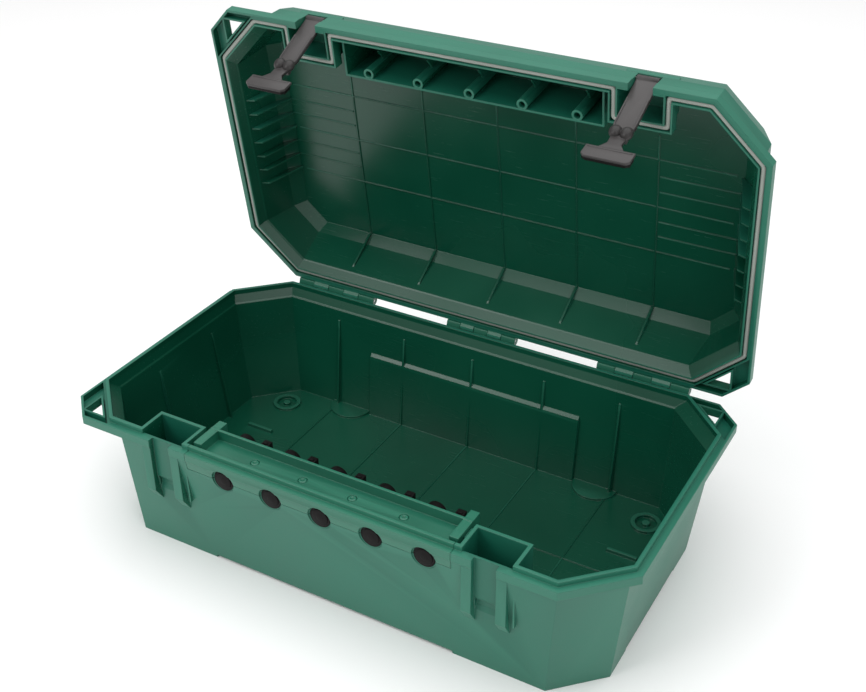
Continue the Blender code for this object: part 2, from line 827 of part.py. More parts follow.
def seal_profile():
    """A stepped rubber plug, outer end first: dished face, body, groove for the walls, and a wide inner end.
    z runs inwards from the mouth of the port."""
    radius = port_radius - gap
    inner = seal_inner_end - seal_recess
    return [
        (0, -0.0012), (radius * 0.62, -0.0012), (radius * 0.72, 0), (radius, 0),
        (radius, -(strip_depth - seal_recess) - gap),
        (seal_inner_radius, -(strip_depth - seal_recess) - 0.0012), (seal_inner_radius, -(inner - 0.0015)),
        (seal_inner_radius * 0.8, -inner), (0, -inner),
    ]


for i, x in enumerate(ports):
    plug = turned(f"cable_seal_{i + 1}", seal_profile(), rubber, 20)
    plug.rotation_euler = (math.pi / 2, 0, 0)
    plug.location = (x, front + seal_recess, port_height)
    bpy.context.view_layer.update()
    settle(plug)
    smooth(plug)


# ---------------------------------------------------------------- lid, modelled shut
def lid_shell_form(bm):
    """Outer top down to the rim, under it, and up the inner wall to the inner face of the top. Insets are
    end, front, rear, eyelet corner, front corner and rear corner."""
    rim_top = lid_face + lid_rim_thickness
    mid_insets = [inset + 0.001 for inset in wall_insets]
    ledge_insets = (0.0145, 0.0125, 0.0155, 0.0180, 0.0125, 0.0155)
    add_loft(bm, [
        (outline(0.0305, 0.0205, 0.0305, 0.0260, 0.0225, 0.0270), lid_top),
        (outline(0.0210, 0.0110, 0.0235, 0.0180, 0.0125, 0.0180), lid_top - lid_shoulder),
        (outline(*mid_insets), lid_face + lid_band_height),
        (outline(*wall_insets), rim_top),
        (rim_outline, rim_top),
        (rim_outline, lid_face),
        (inset_octagon(seal_inset + groove_width / 2 + groove_wall), lid_face),
        (outline(*ledge_insets), lid_face + 0.0075),
        (outline(*[inset + 0.001 for inset in ledge_insets]), lid_face + 0.0085),
        (outline(0.0245, 0.0165, 0.0270, 0.0220, 0.0165, 0.0220), lid_top - wall - lid_facet),
        (outline(0.0335, 0.0235, 0.0335, 0.0290, 0.0260, 0.0300), lid_top - wall),
    ])


def groove_walls(bm):
    """The rim's inner band, following the seal round the wells."""
    top = lid_face + groove_top + groove_wall
    add_loft(bm, [
        (seal_path(groove_width / 2 + groove_wall), lid_face),
        (seal_path(groove_width / 2 + groove_wall), top),
        (seal_path(-groove_width / 2 - groove_wall), top),
        (seal_path(-groove_width / 2 - groove_wall), lid_face),
    ], closed=True)


groove_top = lip_height - lid_gap + seal_gap + gasket_height + gap


def groove_cut(bm):
    top = lid_face + groove_top
    add_loft(bm, [
        (seal_path(groove_width / 2), lid_face - 0.001), (seal_path(groove_width / 2), top),
        (seal_path(-groove_width / 2), top), (seal_path(-groove_width / 2), lid_face - 0.001),
    ], closed=True)


notch_half = well_half + lip_width / 2 - groove_width / 2 - groove_wall
notch_rear = front + well_rear + lip_width / 2 - groove_width / 2 - groove_wall
band_wall = 0.0057


def notch_blocks(bm):
    """The box over each well that the latch arm hinges in."""
    for side in (-1, 1):
        centre = side * well_centre
        add_box(bm, (centre - notch_half - wall, front + 0.003, lid_face + 0.004),
                (centre + notch_half + wall, notch_rear + wall, lid_face + notch_height))


def notch_cavities(bm):
    for side in (-1, 1):
        centre = side * well_centre
        add_box(bm, (centre - notch_half, front + front_overhang + band_wall, lid_face - 0.001),
                (centre + notch_half, notch_rear, lid_face + notch_height - wall))


def notch_slots(bm):
    for side in (-1, 1):
        centre = side * well_centre
        add_box(bm, (centre - slot_half, front - 0.01, lid_face - 0.001),
                (centre + slot_half, front + 0.012, lid_face + slot_height))


def latch_bores(bm):
    reach = slot_half + latch_pin_bite + 0.0005
    for side in (-1, 1):
        centre = side * well_centre
        add_cylinder(bm, "X", (pivot_y, pivot_z), latch_pin_radius + pin_clearance, centre - reach,
                     centre + reach, 16)


def shelf_walls(bm):
    """A thin wall behind the front band, and the walls that close its ends."""
    rear = front + shelf_rear
    low, high = lid_face + 0.006, lid_top - wall + 0.0005
    add_box(bm, (-shelf_half, rear, low), (shelf_half, rear + 0.0018, high))
    for side in (-1, 1):
        near, far = side * shelf_half, side * (shelf_half - 0.0018)
        add_prism(bm, [
            (front + 0.0115, low), (front + 0.0145, lid_top - wall - lid_facet), (front + 0.0245, high),
            (rear + 0.0018, high), (rear + 0.0018, low),
        ], "X", min(near, far), max(near, far))


def shelf_bosses(bm):
    """A hollow boss over each port."""
    for i in range(port_count):
        x = boss_pitch * (i - (port_count - 1) / 2)
        add_cylinder(bm, "Z", (x, front + shelf_rear - 0.0035), boss_radius, lid_face + 0.0062,
                     lid_top - wall + 0.0006, 16)


def shelf_boss_ribs(bm):
    for i in range(port_count):
        x = boss_pitch * (i - (port_count - 1) / 2) + 0.001
        add_prism(bm, [
            (front + 0.0255, lid_top - wall + 0.0007), (front + 0.0255, lid_face + 0.022),
            (front + shelf_rear - 0.006, lid_face + 0.030),
            (front + shelf_rear - 0.006, lid_top - wall + 0.0007),
        ], "X", x - 0.0008, x + 0.0008)


def shelf_boss_bores(bm):
    for i in range(port_count):
        x = boss_pitch * (i - (port_count - 1) / 2)
        add_cylinder(bm, "Z", (x, front + shelf_rear - 0.0035), boss_bore, lid_face - 0.001,
                     lid_top - wall - 0.001, 12)


def lid_rear_gussets(bm):
    for i in range(-2, 3):
        x = i * rib_pitch
        add_prism(bm, [
            (half_width - 0.0160, lid_face + 0.0120), (half_width - 0.0200, lid_face + 0.0160),
            (half_width - 0.0345, lid_top - wall - 0.0030), (half_width - 0.0345, lid_top - wall + 0.001),
            (half_width - 0.0262, lid_top - wall - lid_facet + 0.001),
        ], "X", x - rib_thickness / 2, x + rib_thickness / 2)


def lid_lines(bm):
    """Low ribs on the inside of the lid's top: a grid, and short rows at both ends."""
    high, low = lid_top - wall + 0.001, lid_top - wall - 0.0008
    half = 0.0006
    for i in range(-2, 3):
        x = i * rib_pitch
        add_box(bm, (x - half, -half_width + 0.070, low), (x + half, half_width - 0.034, high))
    for y in (-0.045, 0.0, 0.045):
        add_box(bm, (-half_length + 0.040, y - half, low), (half_length - 0.040, y + half, high))
    for side in (-1, 1):
        near, far = side * (2 * rib_pitch + 0.002), side * (half_length - 0.034)
        for i in (-2, -1, 1, 2):
            y = i * fin_pitch
            add_box(bm, (min(near, far), y - half, low), (max(near, far), y + half, high))


def lid_fins(bm):
    """Upright fins on the lid's end walls, in line with the ribs on its top."""
    for side in (-1, 1):
        for i in range(-3, 4):
            y = i * fin_pitch
            add_prism(bm, [
                (side * (half_length - 0.0150), lid_face + 0.0100),
                (side * (half_length - 0.0230), lid_face + 0.0130),
                (side * (half_length - 0.0360), lid_top - wall - 0.0015),
                (side * (half_length - 0.0360), lid_top - wall + 0.001),
                (side * (half_length - 0.0240), lid_top - wall - lid_facet + 0.001),
            ], "Y", y - 0.0007, y + 0.0007)


open_top = lid_face + lid_rim_thickness + 0.01
lid = make("lid_shell", lid_shell_form, green)
combine(lid, "UNION", "lid_notch_blocks", notch_blocks)
combine(lid, "UNION", "lid_groove_walls", groove_walls)
combine(lid, "DIFFERENCE", "lid_groove", groove_cut)
combine(lid, "DIFFERENCE", "lid_notches", notch_cavities)
combine(lid, "DIFFERENCE", "lid_slots", notch_slots)
combine(lid, "DIFFERENCE", "lid_latch_bores", latch_bores)
combine(lid, "UNION", "lid_shelf", shelf_walls, overlapping=True)
combine(lid, "UNION", "lid_shelf_bosses", shelf_bosses)
combine(lid, "UNION", "lid_shelf_ribs", shelf_boss_ribs)
combine(lid, "DIFFERENCE", "lid_shelf_bores", shelf_boss_bores)
combine(lid, "UNION", "lid_gussets", lid_rear_gussets)
combine(lid, "UNION", "lid_end_fins", lid_fins)
combine(lid, "UNION", "lid_lines", lid_lines, overlapping=True)
combine(lid, "DIFFERENCE", "lid_eyelet_pockets",
        eyelet_pockets(lid_face - 0.01, lid_face + lid_rim_thickness - 0.0018))
combine(lid, "UNION", "lid_eyelet_frames",
        eyelet_frames(lid_face + 0.0002, lid_face + lid_rim_thickness - 0.0008))
combine(lid, "DIFFERENCE", "lid_eyelet_holes", eyelet_holes(lid_face - 0.01, open_top))
combine(lid, "UNION", "lid_knuckles", knuckles(True))
combine(lid, "DIFFERENCE", "lid_hinge_bores", hinge_bores)
settle(lid)
smooth(lid)


def gasket_form(bm):
    low = lip_top + seal_gap
    high = low + gasket_height
    add_loft(bm, [
        (seal_path(gasket_width / 2), low), (seal_path(gasket_width / 2), high),
        (seal_path(-gasket_width / 2), high), (seal_path(-gasket_width / 2), low),
    ], closed=True)


gasket = make("lid_gasket", gasket_form, foam)


# ---------------------------------------------------------------- pins
def pin(name, centre, radius, low, high):
    obj = make(name, lambda bm: add_cylinder(bm, "X", centre, radius, low, high), steel)
    smooth(obj)
    return obj


for name, (middle, long) in zip(("left", "centre", "right"), hinge_groups()):
    pin(f"hinge_pin_{name}", (hinge_y, hinge_z), pin_radius, middle - long / 2 + 0.0005,
        middle + long / 2 - 0.0005)


# ---------------------------------------------------------------- latch arms, modelled shut and hanging straight down
def arm_profile():
    """Side view of a latch arm in (y, z), anticlockwise from the pivot: plate, neck and tab flared outwards,
    turned lip, and the hook on the inner face."""
    y, t = pivot_y, arm_thickness / 2
    bend = pivot_z - arm_length
    catch = rim_height - catch_drop - 0.0005
    away, down = math.sin(tab_flare), math.cos(tab_flare)

    def along(distance, inwards):
        """A point on the neck or tab, at a distance from the bend and off its middle line."""
        return (y - distance * away + inwards * down, bend - distance * down - inwards * away)

    end = neck_length + tab_length
    return [
        (y + t, pivot_z), (y - t, pivot_z), (y - t, bend), along(end, -t), along(end, t + tab_lip),
        along(end - 0.0026, t + tab_lip), along(end - 0.0030, t + 0.0006), along(0.006, t),
        (y + t + hook_depth, catch - hook_height), (y + t + hook_depth, catch), (y + t, catch),
    ]


def arm_side_cuts(side):
    """Narrows everything above the tab to the arm's width."""
    def build(bm):
        centre = side * well_centre
        end = pivot_z - arm_length - neck_length * math.cos(tab_flare)
        for way in (-1, 1):
            near, far = centre + way * arm_width / 2, centre + way * (tab_width / 2 + 0.01)
            add_box(bm, (min(near, far), pivot_y - 0.02, end - 0.0005),
                    (max(near, far), pivot_y + 0.02, pivot_z + 0.01))
    return build


def make_latch(name, side):
    centre = side * well_centre
    arm = make(f"latch_arm_{name}",
               lambda bm: add_prism(bm, arm_profile(), "X", centre - tab_width / 2, centre + tab_width / 2),
               charcoal)
    combine(arm, "DIFFERENCE", f"arm_sides_{name}", arm_side_cuts(side))
    combine(arm, "UNION", f"arm_barrel_{name}",
            lambda bm: add_cylinder(bm, "X", (pivot_y, pivot_z), barrel_radius, centre - arm_width / 2,
                                    centre + arm_width / 2))
    combine(arm, "DIFFERENCE", f"arm_bore_{name}",
            lambda bm: add_cylinder(bm, "X", (pivot_y, pivot_z), latch_pin_radius + pin_clearance,
                                    centre - arm_width, centre + arm_width, 16))
    settle(arm)
    smooth(arm)
    reach = slot_half + latch_pin_bite
    latch_pin = pin(f"latch_pin_{name}", (pivot_y, pivot_z), latch_pin_radius, centre - reach,
                    centre + reach)
    return arm, latch_pin


latches = {name: make_latch(name, side) for name, side in (("left", -1), ("right", 1))}


# ---------------------------------------------------------------- axes, and the rest pose
def axis_empty(name, place, parent=None):
    empty = bpy.data.objects.new(name, None)
    empty.empty_display_type = "SINGLE_ARROW"
    empty.empty_display_size = 0.03
    empty.location = place
    parts.objects.link(empty)
    if parent:
        attach(empty, parent)
    return empty


def attach(obj, parent):
    """Parents an object where it stands."""
    bpy.context.view_layer.update()
    obj.parent = parent
    obj.matrix_parent_inverse = parent.matrix_world.inverted()


lid_axis = axis_empty("lid_hinge_axis", (0, hinge_y, hinge_z))
attach(lid, lid_axis)
attach(gasket, lid_axis)
for name, (arm, latch_pin) in latches.items():
    side = -1 if name == "left" else 1
    arm_axis = axis_empty(f"latch_axis_{name}", (side * well_centre, pivot_y, pivot_z), lid_axis)
    attach(latch_pin, lid_axis)
    attach(arm, arm_axis)
    arm_axis.rotation_euler = (arm_rest, 0, 0)
lid_axis.rotation_euler = (-open_angle, 0, 0)
bpy.context.view_layer.update()
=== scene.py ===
# %% [markdown]
# # A weatherproof cable connection box
#
# Garden lights, pumps and tools need plug joints outdoors, and rain and plug joints don't go together. This box
# swallows the joints: cables come in through five rubber seals, a gasket runs round the lid, and two arms pull the
# lid down on it. The CAD frame holds every solid that moves or carries load. This script gives it its surfaces,
# light and camera.

# %% The frame
import json
import math

import bmesh
import bpy
from mathutils import Matrix, Vector


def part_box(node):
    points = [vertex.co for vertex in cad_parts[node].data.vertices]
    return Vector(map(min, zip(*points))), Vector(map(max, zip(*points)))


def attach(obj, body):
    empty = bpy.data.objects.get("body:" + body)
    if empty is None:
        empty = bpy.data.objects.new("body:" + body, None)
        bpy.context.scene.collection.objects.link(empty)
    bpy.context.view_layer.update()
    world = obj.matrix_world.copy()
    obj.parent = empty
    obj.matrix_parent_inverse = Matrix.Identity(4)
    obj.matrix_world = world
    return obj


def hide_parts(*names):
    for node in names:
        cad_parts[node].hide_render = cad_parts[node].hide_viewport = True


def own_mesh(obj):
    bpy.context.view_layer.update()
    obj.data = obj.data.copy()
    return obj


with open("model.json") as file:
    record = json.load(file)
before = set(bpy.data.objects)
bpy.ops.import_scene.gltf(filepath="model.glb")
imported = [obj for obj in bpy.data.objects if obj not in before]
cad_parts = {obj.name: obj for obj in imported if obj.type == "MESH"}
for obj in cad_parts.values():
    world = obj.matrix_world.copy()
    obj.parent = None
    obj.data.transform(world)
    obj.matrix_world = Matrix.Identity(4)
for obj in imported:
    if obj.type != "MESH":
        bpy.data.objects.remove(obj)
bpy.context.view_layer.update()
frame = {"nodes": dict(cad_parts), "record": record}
nodes = frame["nodes"]

# %% [markdown]
# ## Paint tools
#
# Moulded plastic is never one flat colour. It has a fine spark-eroded grain, faint flow marks from the mould and
# scuffs, and its sharp edges get a paler line painted on as highlight. The helpers below build those effects once,
# as node groups that put out only masks, colours and heights, and every material then mixes its own share of them.

# %% Node helpers


def new_group(name, inputs, outputs):
    """A shader node group with value or colour sockets."""
    group = bpy.data.node_groups.new(name, "ShaderNodeTree")
    for socket_name, kind, default in inputs:
        socket = group.interface.new_socket(socket_name, in_out="INPUT", socket_type=kind)
        socket.default_value = default
    for socket_name, kind in outputs:
        group.interface.new_socket(socket_name, in_out="OUTPUT", socket_type=kind)
    return group, group.nodes.new("NodeGroupInput"), group.nodes.new("NodeGroupOutput")


def link(tree, source, target):
    tree.links.new(source, target)


def math_node(tree, operation, a, b=None, clamp=False):
    """One Math node. Numbers become constants, sockets become links."""
    node = tree.nodes.new("ShaderNodeMath")
    node.operation = operation
    node.use_clamp = clamp
    for socket, value in zip(node.inputs, (a, b)):
        if value is None:
            continue
        if isinstance(value, (int, float)):
            socket.default_value = value
        else:
            tree.links.new(value, socket)
    return node.outputs[0]


def noise(tree, vector, scale, detail=3.0, roughness=0.5):
    node = tree.nodes.new("ShaderNodeTexNoise")
    node.inputs["Scale"].default_value = scale
    node.inputs["Detail"].default_value = detail
    node.inputs["Roughness"].default_value = roughness
    tree.links.new(vector, node.inputs["Vector"])
    return node.outputs["Fac"]


def ramp(tree, value, low, high, out_low=0.0, out_high=1.0):
    """Maps low..high to out_low..out_high, held at both ends."""
    node = tree.nodes.new("ShaderNodeMapRange")
    node.clamp = True
    tree.links.new(value, node.inputs["Value"])
    node.inputs["From Min"].default_value = low
    node.inputs["From Max"].default_value = high
    node.inputs["To Min"].default_value = out_low
    node.inputs["To Max"].default_value = out_high
    return node.outputs["Result"]


def moulded_surface_group():
    """Grain height, slow colour cloud and edge mask of a moulded part, in metres of object space."""
    group, _, out = new_group(
        "moulded_surface", [],
        [("Grain", "NodeSocketFloat"), ("Cloud", "NodeSocketFloat"), ("Edge", "NodeSocketFloat"),
         ("Scuff", "NodeSocketFloat"), ("Flow", "NodeSocketFloat"), ("Rounded", "NodeSocketVector")],
    )
    rounded = group.nodes.new("ShaderNodeBevel")
    rounded.samples = 6
    rounded.inputs["Radius"].default_value = 0.0009
    link(group, rounded.outputs["Normal"], out.inputs["Rounded"])
    place = group.nodes.new("ShaderNodeTexCoord").outputs["Object"]
    fine = noise(group, place, 2600.0, 2.0, 0.6)
    mid = noise(group, place, 900.0, 2.0, 0.5)
    grain = math_node(group, "ADD", math_node(group, "MULTIPLY", fine, 0.6), math_node(group, "MULTIPLY", mid, 0.4))
    link(group, grain, out.inputs["Grain"])
    link(group, ramp(group, noise(group, place, 9.0, 4.0, 0.55), 0.3, 0.7), out.inputs["Cloud"])
    # Pointiness picks out sharp convex edges; the Edge mask paints a paler line on them as a highlight.
    point = group.nodes.new("ShaderNodeNewGeometry").outputs["Pointiness"]
    link(group, ramp(group, point, 0.505, 0.56), out.inputs["Edge"])
    stretch = group.nodes.new("ShaderNodeMapping")
    stretch.inputs["Scale"].default_value = (1.0, 14.0, 14.0)
    stretch.inputs["Rotation"].default_value = (0.3, 0.5, 0.4)
    link(group, place, stretch.inputs["Vector"])
    streak = noise(group, stretch.outputs["Vector"], 38.0, 5.0, 0.7)
    link(group, ramp(group, streak, 0.60, 0.78), out.inputs["Scuff"])
    link(group, ramp(group, noise(group, place, 4.5, 3.0, 0.6), 0.35, 0.65), out.inputs["Flow"])
    return group


def inside_mask_group():
    """1 on faces that look towards the middle of a hollow, 0 on the faces outside it."""
    group, inputs, out = new_group("inside_mask", [("Middle", "NodeSocketVector", (0, 0, 0))],
                                   [("Inside", "NodeSocketFloat")])
    place = group.nodes.new("ShaderNodeTexCoord")
    towards = group.nodes.new("ShaderNodeVectorMath")
    towards.operation = "SUBTRACT"
    link(group, inputs.outputs["Middle"], towards.inputs[0])
    link(group, place.outputs["Object"], towards.inputs[1])
    facing = group.nodes.new("ShaderNodeVectorMath")
    facing.operation = "DOT_PRODUCT"
    link(group, towards.outputs["Vector"], facing.inputs[0])
    link(group, place.outputs["Normal"], facing.inputs[1])
    link(group, ramp(group, facing.outputs["Value"], 0.0, 0.004), out.inputs["Inside"])
    return group


moulded_surface = moulded_surface_group()
inside_mask = inside_mask_group()


def mix_colour(tree, factor, a, b):
    """Colour a where the factor is 0 and b where it is 1. Both may be numbers or sockets."""
    node = tree.nodes.new("ShaderNodeMix")
    node.data_type = "RGBA"
    link(tree, factor, node.inputs["Factor"])
    for socket, value in ((node.inputs["A"], a), (node.inputs["B"], b)):
        if isinstance(value, tuple):
            socket.default_value = (*value, 1)
        else:
            link(tree, value, socket)
    return node.outputs["Result"]


def moulded(name, colour, pale, roughness=0.42, grain=0.10, edge=0.35, scuff=0.10, hollow=None, gloss=0.5):
    """A moulded plastic or rubber: base colour, paler colour for scuffs and for a painted highlight line along sharp
    edges, and a grain bump.
    With a hollow, (middle, inside colour, inside roughness), faces that look towards the middle come out polished and
    take the darker inside colour, which is painted shade inside the hollow."""
    material = bpy.data.materials.new(name)
    material.use_nodes = True
    tree = material.node_tree
    shader = tree.nodes["Principled BSDF"]
    shader.inputs["Specular IOR Level"].default_value = gloss
    surface = tree.nodes.new("ShaderNodeGroup")
    surface.node_tree = moulded_surface
    cloud = mix_colour(tree, surface.outputs["Cloud"], tuple(0.86 * c for c in colour), colour)
    rough = ramp(tree, surface.outputs["Cloud"], 0.0, 1.0, roughness - 0.05, roughness + 0.05)
    height = surface.outputs["Grain"]
    if hollow:
        middle, inside_shade_colour, inside_rough = hollow
        inside = tree.nodes.new("ShaderNodeGroup")
        inside.node_tree = inside_mask
        inside.inputs["Middle"].default_value = middle
        mask = inside.outputs["Inside"]
        # The darker inside colour is painted shade inside the hollow; flow marks vary its tone.
        flow = mix_colour(tree, surface.outputs["Flow"], tuple(0.72 * c for c in inside_shade_colour), inside_shade_colour)
        cloud = mix_colour(tree, mask, cloud, flow)
        smooth_rough = ramp(tree, surface.outputs["Flow"], 0.0, 1.0, inside_rough - 0.06, inside_rough + 0.06)
        blend = tree.nodes.new("ShaderNodeMix")
        link(tree, mask, blend.inputs["Factor"])
        link(tree, rough, blend.inputs["A"])
        link(tree, smooth_rough, blend.inputs["B"])
        rough = blend.outputs["Result"]
        height = math_node(tree, "MULTIPLY", height, ramp(tree, mask, 0.0, 1.0, 1.0, 0.15))
    scuffs = math_node(tree, "MULTIPLY", surface.outputs["Scuff"], scuff)
    if hollow:
        scuffs = math_node(tree, "MULTIPLY", scuffs, ramp(tree, mask, 0.0, 1.0, 1.0, 0.12))
    # Scuffs are wear; the share along sharp edges is a painted highlight.
    scuffs_and_edge_highlight = math_node(tree, "ADD", math_node(tree, "MULTIPLY", surface.outputs["Edge"], edge), scuffs, clamp=True)
    link(tree, mix_colour(tree, scuffs_and_edge_highlight, cloud, pale), shader.inputs["Base Color"])
    link(tree, math_node(tree, "ADD", rough, math_node(tree, "MULTIPLY", surface.outputs["Scuff"], 0.10)),
         shader.inputs["Roughness"])
    bump = tree.nodes.new("ShaderNodeBump")
    bump.inputs["Strength"].default_value = grain
    bump.inputs["Distance"].default_value = 0.0004
    link(tree, height, bump.inputs["Height"])
    link(tree, surface.outputs["Rounded"], bump.inputs["Normal"])
    link(tree, bump.outputs["Normal"], shader.inputs["Normal"])
    return material


def metal(name, colour, roughness=0.35):
    material = moulded(name, colour, tuple(min(1, 1.2 * c) for c in colour), roughness, 0.05, 0.2, 0.3)
    material.node_tree.nodes["Principled BSDF"].inputs["Metallic"].default_value = 1.0
    return material


# The second green, for the faces inside the tub and the lid, is darker as painted shade inside them.
green_out, green_inside_shade, green_pale = (0.007, 0.126, 0.080), (0.003, 0.077, 0.042), (0.06, 0.30, 0.20)
tub_green = moulded("green_tub", green_out, green_pale, 0.44, 0.10, 0.22, 0.05,
                    hollow=((0, 0, 0.107), green_inside_shade, 0.27))
lid_green = moulded("green_lid", green_out, green_pale, 0.44, 0.10, 0.22, 0.05,
                    hollow=((0, 0.166, 0.258), green_inside_shade, 0.27))
green = moulded("green_strip", (0.008, 0.120, 0.072), green_pale, 0.34, 0.06, 0.22, 0.05)
charcoal = moulded("charcoal_plastic", (0.013, 0.012, 0.012), (0.14, 0.13, 0.13), 0.36, 0.08, 0.34, 0.12, gloss=0.32)
rubber = moulded("black_rubber", (0.005, 0.004, 0.004), (0.03, 0.03, 0.03), 0.45, 0.20, 0.12, 0.05, gloss=0.10)
foam = moulded("grey_foam_cord", (0.36, 0.39, 0.355), (0.50, 0.53, 0.49), 0.80, 0.5, 0.1, 0.0, gloss=0.2)
zinc = metal("zinc_steel", (0.55, 0.55, 0.54))
finishes = {"green_shell": tub_green, "green_strip": green, "charcoal_latch": charcoal, "black_rubber": rubber,
            "grey_gasket": foam, "zinc_steel": zinc}
slot_of = {s["node"]: s["material_slot"] for s in frame["record"]["subparts"]}
for name, node in nodes.items():
    for slot in node.material_slots:
        slot.material = lid_green if name == "lid_shell" else finishes[slot_of[name]]
print("painted", len(nodes), "nodes with", len(finishes), "finishes")

# %% [markdown]
# ## Places in the open lid
#
# The lid's pieces are easiest to draw with the lid shut. One matrix swings them up round the hinge line, and a
# second one hangs each latch arm from its pivot in the open lid.

# %% The two swings
half_length, half_width, corner_cut, seal_inset = 0.250, 0.1375, 0.045, 0.007
hinge = Vector((0, 0.1421, 0.1189))
open_lid = Matrix.Translation(hinge) @ Matrix.Rotation(math.radians(-81.3), 4, "X") @ Matrix.Translation(-hinge)


def arm_place(side):
    """From an arm hanging straight down at the origin to its place at rest."""
    pivot = Matrix.Translation((side * 0.1475, -0.1341, 0.134))
    return open_lid @ pivot @ Matrix.Rotation(math.radians(19), 4, "X")


print("left pivot", [round(v, 4) for v in arm_place(-1).translation])

# %% [markdown]
# ## Small solids with soft edges
#
# Everything small is drawn as an outline, given a thickness, and has its edges rounded, because a real moulded
# edge always catches a thin line of light.

# %% Slabs, domes and finished pieces


def slab(bm, outline, low, high, place, bevel=0.0004):
    """An outline in (x, y) made solid from z = low to z = high, edges rounded, then put through place."""
    part = bmesh.new()
    rows = [[part.verts.new((x, y, z)) for x, y in outline] for z in (low, high)]
    count = len(outline)
    for i in range(count):
        j = (i + 1) % count
        part.faces.new((rows[0][i], rows[0][j], rows[1][j], rows[1][i]))
    part.faces.new(rows[1])
    part.faces.new(rows[0][::-1])
    bmesh.ops.recalc_face_normals(part, faces=part.faces)
    if bevel:
        bmesh.ops.bevel(part, geom=list(part.edges), offset=bevel, segments=2, profile=0.6, affect="EDGES",
                        clamp_overlap=True)
    add_part(bm, part, place)


def dome(bm, middle, radii, place):
    """A bead: a ball stretched to three radii."""
    part = bmesh.new()
    bmesh.ops.create_uvsphere(part, u_segments=28, v_segments=18, radius=1.0)
    stretch = Matrix.Translation(middle) @ Matrix.Diagonal((*radii, 1))
    bmesh.ops.transform(part, matrix=stretch, verts=part.verts)
    add_part(bm, part, place)


def add_part(bm, part, place):
    bmesh.ops.transform(part, matrix=place, verts=part.verts)
    mesh = bpy.data.meshes.new("part")
    part.to_mesh(mesh)
    part.free()
    bm.from_mesh(mesh)
    bpy.data.meshes.remove(mesh)


def finished(name, bm, material, body, angle=35):
    """Turns drawn solids into one piece that rides on a body."""
    mesh = bpy.data.meshes.new(name)
    bmesh.ops.recalc_face_normals(bm, faces=bm.faces)
    bm.to_mesh(mesh)
    bm.free()
    mesh.materials.append(material)
    mesh.shade_smooth()
    mesh.set_sharp_from_angle(angle=math.radians(angle))
    piece = bpy.data.objects.new(name, mesh)
    bpy.context.scene.collection.objects.link(piece)
    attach(piece, body)
    return piece


# %% [markdown]
# ## Latch arms
#
# An arm is a flat plate with a thin rib along each edge. Two round beads stand side by side where the plate ends
# and the neck begins, a hook behind them grips the catch, and the thumb tab flares away from the wall. Under the
# tab's end is a ribbed grip in darker black rubber, which is painted shade under the tab.

# %% Both arms
arm_half, arm_thick, plate_long, flare = 0.0088, 0.0013, 0.058, math.radians(13)


def latch_arm(name, side):
    place = arm_place(side)
    # Drawn lying down: x across the arm, y along it away from the pivot, z outwards from the box.
    lying = place @ Matrix(((1, 0, 0, 0), (0, 0, -1, 0), (0, -1, 0, 0), (0, 0, 0, 1)))
    bent = lying @ Matrix.Translation((0, plate_long, 0)) @ Matrix.Rotation(flare, 4, "X")
    bm = bmesh.new()
    n, h = 0.0062, arm_half
    slab(bm, [(-h, -0.001), (h, -0.001), (h, 0.047), (n + 0.0006, 0.0575), (n, 0.0595), (-n, 0.0595),
              (-n - 0.0006, 0.0575), (-h, 0.047)], -arm_thick, arm_thick, lying)
    circle = [(0.0027 * math.cos(t * math.pi / 12), 0.0027 * math.sin(t * math.pi / 12)) for t in range(24)]
    slab(bm, circle, -h, h, lying @ Matrix.Rotation(math.pi / 2, 4, "Y"), 0.0003)
    for way in (-1, 1):
        edge = [(way * (h - 0.0015), 0.0205), (way * (h - 0.0002), 0.0205), (way * (h - 0.0002), 0.0465),
                (way * (n + 0.0004), 0.0560), (way * (n - 0.0009), 0.0560), (way * (h - 0.0015), 0.0460)]
        slab(bm, edge, 0, arm_thick + 0.0007, lying, 0.00025)
        dome(bm, (way * 0.0044, 0.0540, arm_thick - 0.0002), (0.0049, 0.0056, 0.0043), lying)
    slab(bm, [(-n, -0.001), (n, -0.001), (n - 0.0006, 0.009), (n + 0.004, 0.0158), (-n - 0.004, 0.0158),
              (-n + 0.0006, 0.009)], -arm_thick, arm_thick, bent)
    w = 0.019
    slab(bm, [(-w, 0.0150), (w, 0.0150), (w, 0.0255), (w - 0.0028, 0.0280), (-w + 0.0028, 0.0280), (-w, 0.0255)],
         -arm_thick + 0.0002, arm_thick, bent, 0.0005)
    slab(bm, [(-w + 0.002, 0.0163), (w - 0.002, 0.0163), (w - 0.002, 0.0176), (-w + 0.002, 0.0176)],
         0, arm_thick + 0.0005, bent, 0.0002)
    slab(bm, [(-0.006, 0.0556), (0.006, 0.0556), (0.006, 0.0596), (-0.006, 0.0596)], -arm_thick - 0.0030, 0, lying,
         0.0006)
    piece = finished(f"latch_arm_look_{name}", bm, charcoal, f"latch_{name}")
    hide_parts(f"latch_arm_{name}")
    # The ribbed grip under the tab takes the darker black rubber as painted shade under the tab.
    shaded_grip = bmesh.new()
    slab(shaded_grip, [(-w + 0.0006, 0.0172), (w - 0.0006, 0.0172), (w - 0.0006, 0.0252), (w - 0.0032, 0.0277),
                (-w + 0.0032, 0.0277), (-w + 0.0006, 0.0252)], -arm_thick - 0.0024, -arm_thick + 0.0006, bent, 0.0004)
    for i in range(4):
        y = 0.0185 + 0.0021 * i
        slab(shaded_grip, [(-w + 0.0004, y), (w - 0.0004, y), (w - 0.0004, y + 0.0008), (-w + 0.0004, y + 0.0008)],
             -arm_thick - 0.0029, -arm_thick, bent, 0.0002)
    return piece, finished(f"latch_shaded_grip_{name}", shaded_grip, rubber, f"latch_{name}")


for name, side in (("left", -1), ("right", 1)):
    arm, shaded_grip = latch_arm(name, side)
    print(arm.name, len(arm.data.polygons), "faces;", shaded_grip.name, len(shaded_grip.data.polygons))

# %% [markdown]
# ## Gasket cord
#
# The cord follows the rim and steps inwards round each latch notch. It stands nearly level with the lid's face
# while the lid is open. The tub's lip squeezes it to half its height when the lid shuts.

# %% The cord


